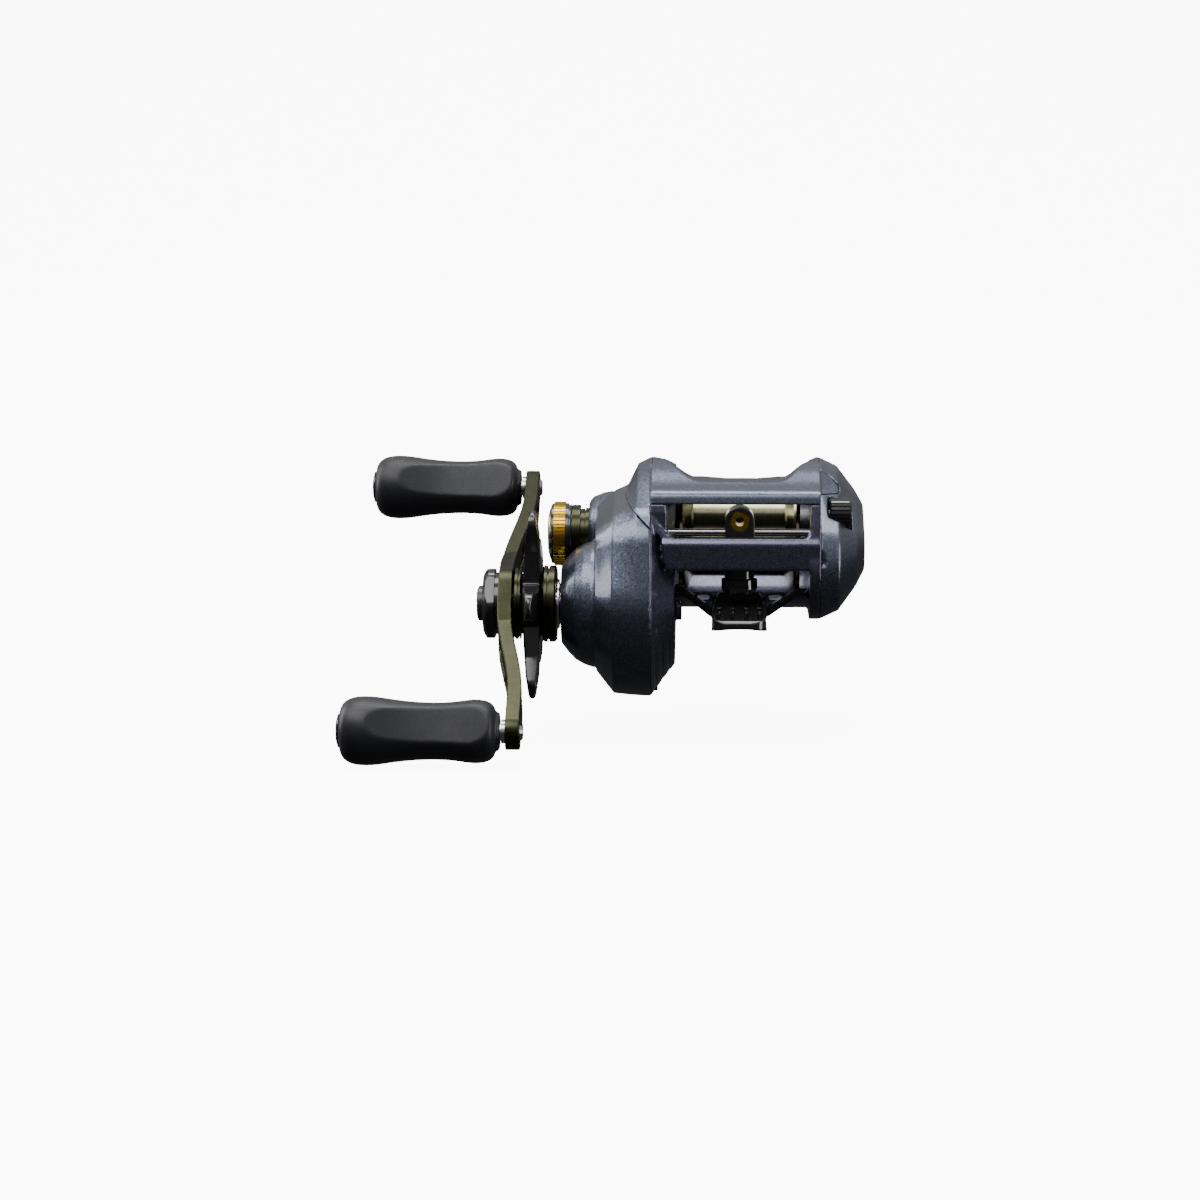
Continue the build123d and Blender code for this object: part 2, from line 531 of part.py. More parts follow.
def knob(axis):
    """Soft knob: fat rounded outer end, waist, and two opposed thumb facets that deepen inboard."""
    top = Spline((KNOB_OUT, 4.6), (-85.0, 6.4), (-81.2, 7.5), (-74.5, 6.85), (-67.8, 6.25),
                 (-60.8, 6.5), (-55.6, 6.85), (-53.3, 6.0), (KNOB_IN, 4.3))
    bore = KNOB_SHAFT_R + FIT
    edge = [top, Polyline(top @ 1, (KNOB_IN + 0.9, 4.1), (KNOB_IN + 0.9, bore), (-84.4, bore),
                          (-84.4, 3.3), (KNOB_OUT, 3.3), top @ 0)]
    solid = Pos(0, *axis) * revolve(make_face(edge), Axis.X)
    for side in (-1, 1):
        scoop = Pos(0, side * (SCOOP_R + SCOOP_NEAR), 0) * Cylinder(SCOOP_R, 40)
        solid -= Pos(SCOOP_X, *axis) * Rot(-SCOOP_TURN, 0, 0) * scoop
    return solid


def knob_cap(axis):
    """Domed end cap pressed into the knob's outer end."""
    return lathe([(-84.4, 0), (-84.4, 3.3), (KNOB_OUT, 3.3), (KNOB_OUT - 0.2, 3.7), (KNOB_OUT - 0.5, 3.6),
                  (KNOB_OUT - 0.85, 2.4), (KNOB_OUT - 0.9, 0)], axis)


def handle_nut(x0, x1):
    """Hexagonal handle nut, turned with the arm."""
    hexagon = [(DRIVE[0] + 5.0 * cos(radians(60 * k - HANDLE_LEAN)),
                DRIVE[1] + 5.0 * sin(radians(60 * k - HANDLE_LEAN))) for k in range(6)]
    return slab_x(hexagon, x0, x1) - rod(x0 - 1, x1 + 1, 2.4, DRIVE)


def nut_retainer():
    """Six-lobed cap over the nut, held by the retainer screw."""
    cap = lathe([(-55.15, 0), (-55.15, 8.4), (-56.5, 8.4), (-57.1, 7.8), (-57.8, 6.6), (-57.8, 0)], DRIVE)
    lobes = []
    for index in range(6):
        angle = radians(60 * index - HANDLE_LEAN)
        lobes.append((DRIVE[0] + 5.6 * cos(angle), DRIVE[1] + 5.6 * sin(angle), 2.8))
    cap &= hull_prism(lobes, -58, -55)
    cap -= rod(-57.35, -55.0, 5.1, DRIVE)
    return cap - rod(-58, -57, 1.1, DRIVE)


def retainer_screw():
    screw = lathe([(-59.3, 0), (-59.3, 3.2), (-58.9, 4.0), (-57.85, 4.0), (-57.85, 0.95), (-54.4, 0.95),
                   (-54.4, 0)], DRIVE)
    hexagon = [(DRIVE[0] + 1.5 * cos(radians(60 * k)), DRIVE[1] + 1.5 * sin(radians(60 * k)))
               for k in range(6)]
    return screw - slab_x(hexagon, -60, -58.6)


def drive_shaft():
    """Main shaft: threaded end for the handle nut, body, flange under the drive gear, journal."""
    shaft = lathe([(-57.2, 0), (-57.2, 2.2), (-57.0, 2.4), (-50.9, 2.4), (-50.9, 3.0), (-28.6, 3.0),
                   (-22.3, 3.0), (-22.3, 2.6), (-20.4, 2.6), (-20.4, 1.5), (-16.2, 1.5), (-16.2, 0)], DRIVE)
    return shaft - rod(-58, -54.0, 1.0, DRIVE)


def drive_gear():
    """Main gear: a toothed rim, a narrower web that clears the pinion's collar, and a drag cup."""
    rim = slab_x(gear_rim(DRIVE_TEETH, DRIVE_MODULE, DRIVE, DRIVE_FIRST), -27.4, -24.7)
    rim += rod(-24.7, -23.65, 15.6, DRIVE)
    rim -= rod(-27.5, -24.2, 13.4, DRIVE)
    return rim - rod(-28, -23, 3.0, DRIVE)


def drag_washers():
    """Drag stack in the gear's cup: two carbon discs with a steel key washer between them."""
    layers = [(-27.3, -26.5), (-26.4, -25.3), (-25.2, -24.3)]
    return Compound([tube(x0, x1, 13.2, 3.0, DRIVE) for x0, x1 in layers])


def ratchet_wheel():
    rim = []
    for index in range(RATCHET_TEETH):
        start = 2 * pi * index / RATCHET_TEETH
        for turn, radius in ((0.0, 7.4), (0.75, 9.2), (0.95, 9.2)):
            angle = start + turn * 2 * pi / RATCHET_TEETH
            rim.append((DRIVE[0] + radius * cos(angle), DRIVE[1] + radius * sin(angle)))
    return slab_x(rim, -23.3, -22.4) - rod(-24, -22, 3.0, DRIVE)


def idler_gear():
    wheel = slab_x(gear_rim(IDLER_TEETH, IDLER_MODULE, DRIVE, IDLER_FIRST), -22.2, -20.6)
    wheel -= rod(-23, -20, 2.6, DRIVE)
    for index in range(5):
        angle = radians(72 * index)
        wheel -= rod(-23, -20, 1.9, (DRIVE[0] + 6.2 * cos(angle), DRIVE[1] + 6.2 * sin(angle)))
    return wheel


def drag_springs():
    """Four cupped spring washers in two opposed pairs, inside the cone boss."""
    cups = []
    for index in range(4):
        x = -40.9 + 0.62 * index
        near, far = (0.0, 0.25) if index % 2 else (0.25, 0.0)
        cups.append(lathe([(x + near, 3.0), (x + far, 5.6), (x + far + 0.3, 5.6), (x + near + 0.3, 3.0)],
                          DRIVE))
    return Compound(cups)


def star_spacers():
    """Anodised spacer rings on the drive axis, one each side of the star, with turned grooves."""
    outer = lathe([(-50.8, 3.0), (-50.8, 7.6), (-50.5, 8.1), (-49.9, 8.1), (-49.8, 7.6), (-49.6, 7.6),
                   (-49.5, 8.1), (-49.3, 8.1), (-49.3, 3.0)], DRIVE)
    inner = lathe([(-44.3, 3.0), (-44.3, 8.4), (-43.9, 8.7), (-43.3, 8.7), (-43.2, 8.1), (-42.9, 8.1),
                   (-42.8, 8.7), (-41.6, 8.7), (-41.2, 8.3), (-41.2, 3.0)], DRIVE)
    return Compound([outer, inner])


# ---------------------------------------------------------------- star drag
def star_drag():
    """Five rounded spokes on a dished hub, threaded over the star nut."""
    wheel = lathe([(-49.2, 0), (-49.2, 6.4), (-48.4, 8.0), (-45.2, 8.0), (-44.4, 7.0), (-44.4, 0)], DRIVE)
    for index in range(5):
        angle = radians(STAR_FIRST + 72 * index)
        discs = []
        for distance, radius in ((6.0, 4.6), (13.0, 3.0), (STAR_R - 3.2, 3.2)):
            discs.append((DRIVE[0] - distance * cos(angle), DRIVE[1] + distance * sin(angle), radius))
        wheel += hull_prism(discs[:2], -48.8, -44.8) + hull_prism(discs[1:], -48.8, -44.8)
    wheel &= lathe([(-49.2, 0), (-49.2, 6.4), (-48.7, 8.0), (-48.4, 12.0), (-47.9, 18.0), (-47.3, 21.4),
                    (-46.7, STAR_R), (-46.2, STAR_R), (-45.7, 21.4), (-45.0, 16.0), (-44.8, 8.0),
                    (-44.4, 7.0), (-44.4, 0)], DRIVE)
    return wheel - rod(-50, -44, 5.2, DRIVE)


def star_nut():
    return tube(-49.0, -44.5, 5.2, 3.0 + FIT, DRIVE)


# ---------------------------------------------------------------- cast control
def cast_cap():
    """Cap that screws on the cast boss, grooved for the knurled grip ring."""
    return lathe([(-43.1, 0), (-43.1, 6.4), (-42.8, 6.9), (-42.3, 6.9), (-42.3, 6.5), (-39.7, 6.5),
                  (-39.7, 7.0), (-39.0, 7.0), (-38.9, 6.6), (-38.6, 6.6), (-38.5, 6.9), (-38.3, 6.8),
                  (-38.3, 5.6 + FIT), (-42.4, 5.6 + FIT), (-42.4, 0)], SPOOL)


def cast_grip_ring():
    return knurl(-42.3, -39.7, 7.35, 0.28, 54, SPOOL) - rod(-43, -39, 6.5, SPOOL)


def cast_end_disc():
    return lathe([(-43.1, 0), (-43.1, 5.9), (-43.4, 5.6), (-43.75, 4.0), (-43.9, 0)], SPOOL)


# ---------------------------------------------------------------- spool and pinion
def spool_barrel():
    """Barrel the line is wound on, hollow on both sides of its web."""
    return lathe([(-SPOOL_FOOT, 8.6), (-SPOOL_FOOT, ARBOR_R), (SPOOL_FOOT, ARBOR_R), (SPOOL_FOOT, 8.6),
                  (6.6, 8.6), (6.6, PIN_R), (-13.0, PIN_R), (-13.0, 3.2), (-5.6, 3.2), (-5.6, 8.6)], SPOOL)


def spool_flanges():
    """Two sloped flanges with rounded rims."""
    half = SPOOL_HALF
    outline = [(SPOOL_FOOT, 8.6), (SPOOL_FOOT, ARBOR_R), (10.8, 9.9), (12.3, 14.0), (half - 0.9, SPOOL_R),
               (half - 0.3, SPOOL_R), (half, SPOOL_R - 0.3), (half, 8.6)]
    return Compound([lathe([(side * x, radius) for x, radius in outline], SPOOL) for side in (-1, 1)])


def spool_shaft():
    shaft = lathe([(-41.7, 0), (-41.4, 0.6), (-41.0, PIN_R), (16.8, PIN_R), (17.1, 0.9), (17.1, 0)], SPOOL)
    return shaft - post(-15.4, SPOOL[0], 0, 40, 0.5)


def spool_pin():
    return post(-15.4, SPOOL[0], SPOOL[1] - 2.4, SPOOL[1] + 2.4, 0.5)


def brake_rotor():
    """Cup that turns with the spool round the magnets."""
    return lathe([(6.6, PIN_R), (6.6, 8.4), (13.2, 8.4), (13.2, 7.6), (7.4, 7.6), (7.4, PIN_R)], SPOOL)


def pinion_gear():
    """Pinion: long teeth, yoke groove, and a slotted end that drives the spool pin."""
    teeth = slab_x(gear_rim(PINION_TEETH, DRIVE_MODULE, SPOOL, PINION_FIRST), -31.0, -22.8)
    body = lathe([(-22.8, 0), (-22.8, 2.9), (-22.0, 2.9), (-22.0, 1.95), (-20.8, 1.95), (-20.8, 2.9),
                  (-15.0, 2.9), (-14.8, 2.7), (-14.8, 0)], SPOOL)
    pinion = teeth + body
    pinion -= rod(-32, -14, PIN_R + FIT, SPOOL)
    return pinion - block(-16.05, -14, SPOOL[0] - 0.6, SPOOL[0] + 0.6, SPOOL[1] - 3, SPOOL[1] + 3)


def clutch_yoke():
    """Forked plate in the pinion's groove, sliding on two posts."""
    plate = hull_prism([(*YOKE_POSTS[0], 2.2), (*YOKE_POSTS[1], 2.2)], -21.9, -20.9)
    plate += rod(-21.9, -20.9, 4.0, SPOOL)
    plate -= rod(-23, -20, 1.95 + FIT, SPOOL)
    away = (SPOOL[0] - 10 * (SPOOL[0] - DRIVE[0]) / hypot(*PERP),
            SPOOL[1] - 10 * (SPOOL[1] - DRIVE[1]) / hypot(*PERP))
    plate -= hull_prism([(*SPOOL, 1.95 + FIT), (*away, 1.95 + FIT)], -23, -20)
    for place in YOKE_POSTS:
        plate -= rod(-23, -20, 0.8 + FIT, place)
    return plate


def yoke_springs():
    """Coil spring on each post, outboard of the yoke."""
    coils = []
    for place in YOKE_POSTS:
        path = Helix(pitch=0.95, height=3.3, radius=1.35, direction=(-1, 0, 0))
        coil = sweep(Plane(path @ 0, z_dir=path % 0) * Circle(0.22), path=path, is_frenet=True)
        coils.append(Pos(-22.15, *place) * coil)
    return Compound([solid for coil in coils for solid in coil.solids()])


def clutch_cam():
    """Cam ring between the plate and the yoke: two ramps, and an arm that the bar moves."""
    cam = tube(-20.5, -19.95, 7.0, 3.6, SPOOL)
    toward = atan2(PERP_UNIT[1], PERP_UNIT[0])
    run = CAM_RADIUS * radians(CAM_SWING)
    for side in (0, pi):
        ramp = Pos(0, CAM_RADIUS - 0.5, 0) * slab_ramp(run)
        cam += Pos(0, *SPOOL) * Rot(degrees(toward + side), 0, 0) * ramp
    start = radians(CAM_SWING / 2)
    tip = (SPOOL[0] + CAM_ARM * cos(start), SPOOL[1] + CAM_ARM * sin(start))
    root = (SPOOL[0] + CAM_RADIUS * cos(start), SPOOL[1] + CAM_RADIUS * sin(start))
    cam += hull_prism([(*root, 1.8), (*tip, 1.3)], -20.5, -19.95) - rod(-21, -19, 5.0, SPOOL)
    cam += rod(-21.3, -20.2, 0.7, tip)
    return cam


def slab_ramp(run):
    """Ramp 1 mm wide that lifts outboard over its run, then stays level."""
    edge = 2.5
    low, high = -20.75, -20.75 - CLUTCH_TRAVEL
    face = make_face(Polyline((-20.3, 0, edge), (low, 0, edge), (high, 0, edge + run),
                              (high, 0, edge + run + 0.8), (-20.3, 0, edge + run + 0.8), close=True))
    return extrude(face, 1.0, dir=(0, 1, 0))


def clutch_bar():
    """Thumb bar across the reel, with a blade in the gear case that works the cam."""
    bar = hull_prism([(21.8, 27.6, 2.0), (25.4, 27.2, 1.8), (22.6, 24.2, 1.2)], -13.9, 15.1)
    bar -= Pos(0.6, 23.5, 68.6) * Cylinder(40, 14, rotation=(90, 0, 0))
    bar += block(15.0, 16.8, 22.2, 24.6, 23.8, 27.2)
    bar += block(-21.4, -13.8, 21.6, 25.0, 22.2, 26.8)
    blade = block(-21.4, -20.7, 13.4, 25.0, 18.9, 22.6)
    pin_z = SPOOL[1] + CAM_ARM * sin(radians(CAM_SWING / 2))
    pin_y = SPOOL[0] + CAM_ARM
    blade -= hull_prism([(pin_y - 0.25, pin_z, 0.78), (pin_y + 0.05, pin_z, 0.78)], -22, -20)
    return bar + blade


# ---------------------------------------------------------------- level wind
def worm_shaft():
    """Level-wind worm with crossing grooves, running in a bush at each end."""
    worm = lathe([(-22.6, 0), (-22.6, 1.2), (-14.2, 1.2), (-14.2, 2.4), (14.9, 2.4), (14.9, 1.2),
                  (17.0, 1.2), (17.0, 0)], WORM)
    groove = lathe([(-0.45, 1.7), (-0.55, 3.4), (0.55, 3.4), (0.45, 1.7)], (0, 0))
    for index in range(6):
        for tilt in (-26, 26):
            worm -= Pos(-11.6 + 4.7 * index, *WORM) * Rot(0, 0, tilt) * groove
    return worm


def worm_gear():
    wheel = slab_x(gear_rim(WORM_TEETH, IDLER_MODULE, WORM, WORM_FIRST), -22.2, -20.6)
    wheel += rod(-20.6, -20.1, 2.2, WORM)
    return wheel - rod(-23, -20, 1.2, WORM)


def line_guide():
    """Carrier round the guard tube, with a rounded block above it for the line ring."""
    front, back = -23.5, WORM[0] + 1.6
    body = rod(-CARRIER_HALF, CARRIER_HALF, 4.65, WORM)
    body += block(-CARRIER_HALF, CARRIER_HALF, front, back, WORM[1], RING_Z)
    body += pipe_y(0, front, back, RING_Z, CARRIER_HALF)
    body += post(0, WORM[0], 10.4, WORM[1], 3.3)
    body -= rod(-5, 5, 3.5 + 0.1, WORM)
    body -= rod(-5, 5, 0.75 + 0.08, GUIDE_ROD)
    body -= pipe_y(0, front - 1, back + 1, RING_Z, 1.6)
    body -= pipe_y(0, front - 1, front + 0.5, RING_Z, 2.05)
    return body - post(0, WORM[0], 9, WORM[1] - 2, 1.2)


def guide_ring():
    """Hard ring the line runs through, flanged at the front and back."""
    front, back = -23.5, WORM[0] + 1.6
    ring = pipe_y(0, front - 0.15, front + 0.5, RING_Z, 2.05)
    ring += pipe_y(0, front, back, RING_Z, 1.6)
    ring += pipe_y(0, back, back + 0.4, RING_Z, 2.05)
    ring -= pipe_y(0, front - 1, back + 1, RING_Z, 1.05)
    mouth = Cone(1.9, 1.05, 0.6, rotation=(90, 0, 0))
    return ring - Pos(0, front + 0.1, RING_Z) * mouth


def pawl():
    return post(0, WORM[0], 9.0, WORM[1] - 2.5, 1.15)


def pawl_cap():
    """Slotted round-bottomed cap that keeps the pawl in."""
    cap = Pos(0, WORM[0], 0) * revolve(make_face(Polyline((0, 0, 7.0), (2.6, 0, 7.0), (3.6, 0, 7.5),
                                                          (4.0, 0, 8.4), (4.0, 0, 10.4), (0, 0, 10.4),
                                                          close=True)), Axis.Z)
    cap -= post(0, WORM[0], 9.0, 11, 1.2)
    return cap - block(-5, 5, WORM[0] - 4.2, WORM[0] - 3.4, 8.5, 9.2)


# ---------------------------------------------------------------- palm side
def palm_outer():
    return hull_loft((PALM_FULL, RING_OUT), (PALM_MID, PALM_MID_X), (PALM_EDGE, PALM_EDGE_X),
                     (PALM_FACE, PALM_OUT))


def palm_inner():
    return hull_loft((shrink(PALM_FULL, WALL), RING_OUT), (shrink(PALM_MID, WALL), PALM_MID_X),
                     (shrink(PALM_EDGE, WALL), PALM_EDGE_X - 0.2),
                     (shrink(PALM_FACE, WALL), PALM_OUT - WALL))


def palm_cover():
    """Palm-side shell with a bearing hub, a carrier disc for the magnets and a dial pocket."""
    outer = palm_outer()
    shell = outer - palm_inner() - hood_tongue(0.1)
    shell -= block(RING_OUT - 1, RING_OUT + 1.2, -30, -24.9, 14.0, 20.4)
    shell += rod(14.4, PALM_OUT - 1, 5.3, SPOOL)
    shell += tube(17.2, 18.6, 9.0, 5.0, SPOOL)
    shell += (rod(18.6, 26.2, 5.2, DIAL) & outer) - hood_tongue(0.1)
    shell -= rod(14.3, 17.4, 4.2, SPOOL)
    shell -= rod(19.9, 25.2, DIAL_R + 0.2, DIAL)
    return shell - rod(18.3, 20.0, 1.2 + FIT, DIAL)


def brake_dial():
    """Knurled dial with bevelled ends, on a short spindle."""
    wheel = knurl(20.1, 25.0, DIAL_R, 0.3, 26, DIAL)
    wheel &= lathe([(20.1, 0), (20.1, DIAL_R - 0.4), (20.5, DIAL_R), (24.5, DIAL_R), (25.0, DIAL_R - 0.5),
                    (25.0, 0)], DIAL)
    return wheel + rod(18.9, 20.2, 1.2, DIAL)


def build_all():
    """Every piece of the reel, by node name."""
    upper, lower = knob_axis(1), knob_axis(-1)
    screws = foot_screws()
    guide_rail = rod(PLATE_IN - 2, RING_IN, 0.75, GUIDE_ROD)
    parts["frame"] = frame() - screws - guide_rail
    parts["front_hood"] = front_hood()
    parts["reel_foot"] = reel_foot() - screws
    parts["foot_screws"] = screws
    parts["gear_cover"] = gear_cover()
    parts["gear_cover_screws"] = gear_cover_screws()
    parts["thumb_rest"] = thumb_rest()
    parts["worm_guard"] = worm_guard()
    parts["guide_rod"] = guide_rail
    parts["worm_bushes"] = worm_bushes()
    parts["gear_side_bearings"] = gear_side_bearings()
    parts["cast_boss"] = cast_boss()
    parts["roller_clutch"] = roller_clutch()
    parts["yoke_posts"] = yoke_posts()

    parts["handle_arm"] = handle_arm()
    parts["arm_washer"] = tube(-55.1, ARM_OUT, 7.0, 2.4, DRIVE)
    parts["handle_nut"] = handle_nut(-57.3, -55.2)
    parts["nut_retainer"] = nut_retainer()
    parts["retainer_screw"] = retainer_screw()
    parts["drive_shaft"] = drive_shaft()
    parts["drive_gear"] = drive_gear()
    parts["drag_washers"] = drag_washers()
    parts["pressure_plate"] = tube(-28.4, -27.4, 12.6, 3.0, DRIVE)
    parts["ratchet_wheel"] = ratchet_wheel()
    parts["idler_gear"] = idler_gear()
    parts["drag_springs"] = drag_springs()
    parts["star_spacers"] = star_spacers()
    parts["clutch_sleeve"] = tube(-38.2, -28.5, 4.95, 3.0, DRIVE)
    parts["upper_knob_shaft"] = knob_shaft(upper)
    parts["lower_knob_shaft"] = knob_shaft(lower)
    parts["upper_knob"] = knob(upper)
    parts["lower_knob"] = knob(lower)
    parts["upper_knob_cap"] = knob_cap(upper)
    parts["lower_knob_cap"] = knob_cap(lower)
    parts["star_drag"] = star_drag()
    parts["star_nut"] = star_nut()

    parts["cast_cap"] = cast_cap()
    parts["cast_grip_ring"] = cast_grip_ring()
    parts["cast_end_disc"] = cast_end_disc()
    parts["friction_disc"] = rod(-42.4, -41.8, 4.0, SPOOL)

    parts["spool"] = spool_barrel()
    parts["spool_flanges"] = spool_flanges()
    parts["spool_shaft"] = spool_shaft()
    parts["spool_pin"] = spool_pin()
    parts["brake_rotor"] = brake_rotor()
    parts["pinion_gear"] = pinion_gear()
    parts["clutch_yoke"] = clutch_yoke()
    parts["yoke_springs"] = yoke_springs()
    parts["clutch_cam"] = clutch_cam()
    parts["clutch_bar"] = clutch_bar()
    parts["worm_shaft"] = worm_shaft()
    parts["worm_gear"] = worm_gear()
    parts["line_guide"] = line_guide()
    parts["guide_ring"] = guide_ring()
    parts["pawl"] = pawl()
    parts["pawl_cap"] = pawl_cap()
    parts["palm_cover"] = palm_cover()
    parts["palm_bearing"] = ball_bearing(14.6, 16.8, 4.2, PIN_R + FIT, SPOOL)
    parts["magnet_ring"] = tube(8.2, 17.2, 7.0, 5.4, SPOOL)
    parts["brake_dial"] = brake_dial()


build_all()
os.makedirs("parts", exist_ok=True)
for name, shape in parts.items():
    export_step(shape, f"parts/{name}.step")
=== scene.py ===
import bpy
import json
from math import cos, radians, sin
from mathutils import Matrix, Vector


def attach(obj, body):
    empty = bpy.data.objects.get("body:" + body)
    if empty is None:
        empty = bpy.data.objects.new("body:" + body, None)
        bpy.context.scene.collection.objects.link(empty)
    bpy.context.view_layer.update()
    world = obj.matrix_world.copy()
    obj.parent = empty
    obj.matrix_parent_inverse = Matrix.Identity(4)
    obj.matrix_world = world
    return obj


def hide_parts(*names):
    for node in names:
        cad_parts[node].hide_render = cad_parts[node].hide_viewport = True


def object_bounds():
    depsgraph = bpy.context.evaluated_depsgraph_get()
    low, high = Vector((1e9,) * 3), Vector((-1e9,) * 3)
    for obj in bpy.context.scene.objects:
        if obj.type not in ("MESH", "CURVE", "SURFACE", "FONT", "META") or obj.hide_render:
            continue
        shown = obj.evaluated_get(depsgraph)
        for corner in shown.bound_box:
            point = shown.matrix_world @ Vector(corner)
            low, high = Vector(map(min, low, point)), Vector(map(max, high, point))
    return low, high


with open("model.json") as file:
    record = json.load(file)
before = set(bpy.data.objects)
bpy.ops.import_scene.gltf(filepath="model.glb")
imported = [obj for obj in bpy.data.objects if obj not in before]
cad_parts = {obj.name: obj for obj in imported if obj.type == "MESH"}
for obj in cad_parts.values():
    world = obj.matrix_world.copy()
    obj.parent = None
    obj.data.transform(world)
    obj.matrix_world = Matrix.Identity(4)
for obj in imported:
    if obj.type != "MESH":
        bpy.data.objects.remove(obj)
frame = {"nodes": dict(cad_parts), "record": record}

# Looks of a low-profile baitcasting reel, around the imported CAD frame. Metres throughout.
CAD_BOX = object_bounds()
MM = 0.001
NODES = frame["nodes"]
BODIES = frame["record"]["behaviour"]["bodies"]
BODY_OF = {node: body for body, members in BODIES.items() for node in members}
SLOT_OF = {part["node"]: part["material_slot"] for part in frame["record"]["subparts"]}
SPOOL = (3.0 * MM, 18.0 * MM)        # (y, z) of the axes that turned surfaces are brushed about
DRIVE = (-9.6 * MM, 3.4 * MM)
NOISE_LOW, NOISE_HIGH = 0.3, 0.7     # the band that most of a noise texture's values lie in
FLAKE_SIZE = 0.16 * MM
PEBBLE_SIZE = 0.12 * MM
WEAVE_SIZE = 0.9 * MM
FLAT, SHARP = 0.52, 0.62             # pointiness of a flat face and of a convex edge

LIT_POINT = (-0.03, 0, 0.01)         # what all lights are turned to
LIGHTS = [                           # name, place, (width, height), watts
    ("key", (-0.30, -0.28, 0.55), (0.75, 0.38), 5.0),
    ("fill", (0.62, -0.22, 0.12), (0.25, 0.50), 2.8),
    ("top", (0.0, 0.10, 0.70), (0.7, 0.30), 5.0),
    ("rim", (-0.55, 0.20, 0.20), (0.2, 0.4), 1.8),
]
SKY_SLOPE = (-0.10, 0.85)            # the world goes from dark to bright between these heights
SKY_STRENGTH = (0.05, 0.75)


# ---------------------------------------------------------------- node helper
def set_range(node, start, stop, low, high):
    """Make a Map Range node take start..stop to low..high."""
    for socket, number in (("From Min", start), ("From Max", stop), ("To Min", low), ("To Max", high)):
        node.inputs[socket].default_value = number


class Look:
    """A node material around one Principled shader, with short calls for the usual textures."""

    def __init__(self, name, color, **sockets):
        self.material = bpy.data.materials.new(name)
        self.material.use_nodes = True
        self.tree = self.material.node_tree
        self.shader = self.tree.nodes["Principled BSDF"]
        self.shader.inputs["Base Color"].default_value = (*color, 1)
        for socket, value in sockets.items():
            self.shader.inputs[socket.replace("_", " ")].default_value = value
        self.place = self.tree.nodes.new("ShaderNodeTexCoord").outputs["Object"]

    def feed(self, socket, value):
        """Give a socket a number, a colour or vector, or the output of another node."""
        if isinstance(value, (int, float)):
            socket.default_value = value
        elif isinstance(value, tuple):
            socket.default_value = value if len(value) == len(socket.default_value) else (*value, 1)
        else:
            self.tree.links.new(value, socket)

    def math(self, operation, *values, clamp=False):
        """One Math node on numbers or outputs."""
        node = self.tree.nodes.new("ShaderNodeMath")
        node.operation = operation
        node.use_clamp = clamp
        for socket, value in zip(node.inputs, values):
            self.feed(socket, value)
        return node.outputs[0]

    def vector(self, operation, *values, scale=None):
        """One Vector Math node; LENGTH gives a number."""
        node = self.tree.nodes.new("ShaderNodeVectorMath")
        node.operation = operation
        for socket, value in zip(node.inputs, values):
            self.feed(socket, value)
        if scale is not None:
            self.feed(node.inputs["Scale"], scale)
        return node.outputs[1] if operation == "LENGTH" else node.outputs[0]

    def noise(self, size, detail=2.0, where=None, roughness=0.5):
        """Noise whose features are about `size` metres across."""
        node = self.tree.nodes.new("ShaderNodeTexNoise")
        self.feed(node.inputs["Vector"], where or self.place)
        node.inputs["Scale"].default_value = 1 / size
        node.inputs["Detail"].default_value = detail
        node.inputs["Roughness"].default_value = roughness
        return node.outputs[0]

    def cells(self, size, output="Color"):
        """Random cells about `size` metres across."""
        node = self.tree.nodes.new("ShaderNodeTexVoronoi")
        self.feed(node.inputs["Vector"], self.place)
        node.inputs["Scale"].default_value = 1 / size
        return node.outputs[output]

    def spread(self, value, low, high, start=0.0, stop=1.0):
        """Map start..stop of a value to low..high."""
        node = self.tree.nodes.new("ShaderNodeMapRange")
        self.feed(node.inputs["Value"], value)
        set_range(node, start, stop, low, high)
        return node.outputs[0]

    def vary(self, noise, low, high):
        """Map the usual band of a noise to low..high."""
        return self.spread(noise, low, high, NOISE_LOW, NOISE_HIGH)

    def mix(self, share, first, second):
        """First colour at share 0, second at share 1."""
        node = self.tree.nodes.new("ShaderNodeMix")
        node.data_type = "RGBA"
        self.feed(node.inputs["Factor"], share)
        self.feed(node.inputs["A"], first)
        self.feed(node.inputs["B"], second)
        return node.outputs["Result"]

    def bump(self, height, distance, strength=1.0):
        """Drive the shader's normal with a height of about `distance` metres."""
        node = self.tree.nodes.new("ShaderNodeBump")
        self.feed(node.inputs["Height"], height)
        node.inputs["Distance"].default_value = distance
        node.inputs["Strength"].default_value = strength
        self.feed(self.shader.inputs["Normal"], node.outputs["Normal"])

    def set(self, socket, value):
        """Feed a socket of the shader."""
        self.feed(self.shader.inputs[socket], value)

    def radius(self, axis):
        """Distance from the X-parallel axis through (y, z)."""
        offset = self.vector("SUBTRACT", self.place, (0.0, *axis))
        return self.vector("LENGTH", self.vector("MULTIPLY", offset, (0.0, 1.0, 1.0)))

    def turned(self, axis, size):
        """Fine lathe lines: noise that depends only on the radius and the place along the axis."""
        node = self.tree.nodes.new("ShaderNodeSeparateXYZ")
        self.feed(node.inputs[0], self.place)
        joined = self.tree.nodes.new("ShaderNodeCombineXYZ")
        self.feed(joined.inputs[0], node.outputs[0])
        self.feed(joined.inputs[1], self.radius(axis))
        return self.noise(size, 3.0, joined.outputs[0])

    def edges(self):
        """Near 0 on flats, rising on convex edges."""
        geometry = self.tree.nodes.new("ShaderNodeNewGeometry")
        return self.spread(geometry.outputs["Pointiness"], 0.0, 1.0, FLAT, SHARP)


